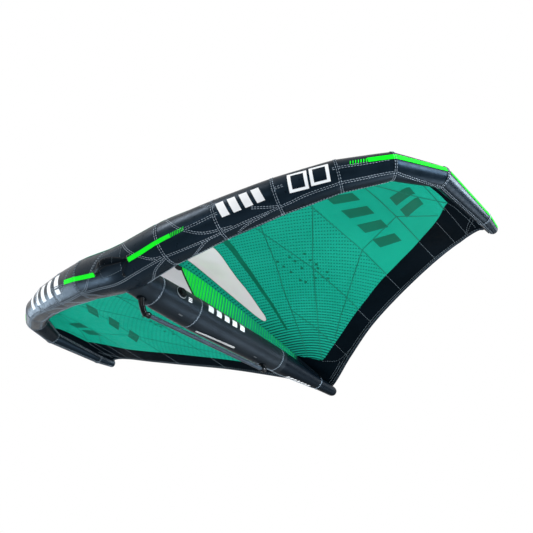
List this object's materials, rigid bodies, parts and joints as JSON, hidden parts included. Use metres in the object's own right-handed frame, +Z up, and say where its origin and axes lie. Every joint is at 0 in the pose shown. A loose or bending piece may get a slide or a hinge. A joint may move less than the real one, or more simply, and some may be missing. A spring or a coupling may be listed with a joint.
{
  "type": "wingfoil wing",
  "caption": "Inflatable hand-held wing with a segmented leading edge tube, strut, rigid boom bar, teal canopy with clear windows, black trailing band and a padded front handle.",
  "frame": {"origin": "middle of the boom bar, where the wing is held", "axes": "+X along the span, to the right as seen from in front of the leading edge; +Y aft along the strut; +Z up"},
  "size_m": [3.0798, 2.1044, 0.5608],
  "materials": {
    "sleeve_slate": "woven polyester",
    "bladder_clear": "clear film",
    "canopy_teal": "ripstop",
    "band_black": "woven polyester",
    "window_clear": "clear film",
    "profile_green": "printed cloth",
    "bar_grey": "anodised",
    "bracket_black": "moulded",
    "grip_black": "padded",
    "webbing_black": "webbing",
    "valve_black": "moulded",
    "cord_black": "matt"
  },
  "bodies": {
    "wing": {"edge_sleeve_middle": "sleeve_slate", "edge_sleeve_1_right": "sleeve_slate", "edge_sleeve_2_right": "sleeve_slate", "edge_sleeve_3_right": "sleeve_slate", "edge_sleeve_4_right": "sleeve_slate", "edge_sleeve_5_right": "sleeve_slate", "edge_sleeve_6_right": "sleeve_slate", "edge_sleeve_7_right": "sleeve_slate", "edge_sleeve_1_left": "sleeve_slate", "edge_sleeve_2_left": "sleeve_slate", "edge_sleeve_3_left": "sleeve_slate", "edge_sleeve_4_left": "sleeve_slate", "edge_sleeve_5_left": "sleeve_slate", "edge_sleeve_6_left": "sleeve_slate", "edge_sleeve_7_left": "sleeve_slate", "edge_tip_cap_right": "band_black", "edge_tip_cap_left": "band_black", "edge_bladder": "bladder_clear", "strut_sleeve_root": "sleeve_slate", "strut_sleeve_1": "sleeve_slate", "strut_sleeve_2": "sleeve_slate", "strut_sleeve_3": "sleeve_slate", "strut_end_cap": "band_black", "strut_bladder": "bladder_clear", "air_hose": "cord_black", "canopy_middle": "canopy_teal", "canopy_inner_right": "canopy_teal", "canopy_inner_left": "canopy_teal", "canopy_outer_right": "canopy_teal", "canopy_outer_left": "canopy_teal", "canopy_end_right": "canopy_teal", "canopy_end_left": "canopy_teal", "window_right": "window_clear", "window_left": "window_clear", "edge_patch": "band_black", "edge_band_inner_right": "band_black", "edge_band_inner_left": "band_black", "edge_band_outer_right": "band_black", "edge_band_outer_left": "band_black", "edge_band_end_right": "band_black", "edge_band_end_left": "band_black", "tip_panel_right": "band_black", "tip_panel_left": "band_black", "profile_panel": "profile_green", "profile_front_tab": "webbing_black", "boom_bar": "bar_grey", "boom_plug_front": "bracket_black", "boom_plug_rear": "bracket_black", "boom_bracket_front": "bracket_black", "boom_bracket_rear": "bracket_black", "handle_tab_right": "webbing_black", "handle_tab_left": "webbing_black", "leash_tab_low": "webbing_black", "valve_base": "valve_black", "valve_cap_anchor": "valve_black"},
    "front_handle": {"front_handle": "grip_black"},
    "leash_loop": {"leash_loop": "cord_black"},
    "valve_cap": {"valve_cap": "valve_black"}
  },
  "joints": [
    {"name": "front_handle_tilt", "type": "hinge", "parent": "wing", "child": "front_handle", "pos_m": [0, -0.76498, 0.13119], "axis": [1, 0, 0], "range_deg": [-8, 8], "stiffness_Nm_per_rad": 0.8},
    {"name": "leash_loop_swing", "type": "hinge", "parent": "wing", "child": "leash_loop", "pos_m": [0.0885, -0.73714, 0.09835], "axis": [-0.6849, 0.4428, -0.5786], "range_deg": [-20, 20], "stiffness_Nm_per_rad": 0.03},
    {"name": "valve_cap_hinge", "type": "hinge", "parent": "wing", "child": "valve_cap", "pos_m": [0.09712, -0.30869, 0.15252], "axis": [-0.1736, 0, 0.9848], "range_deg": [0, 90]}
  ]
}
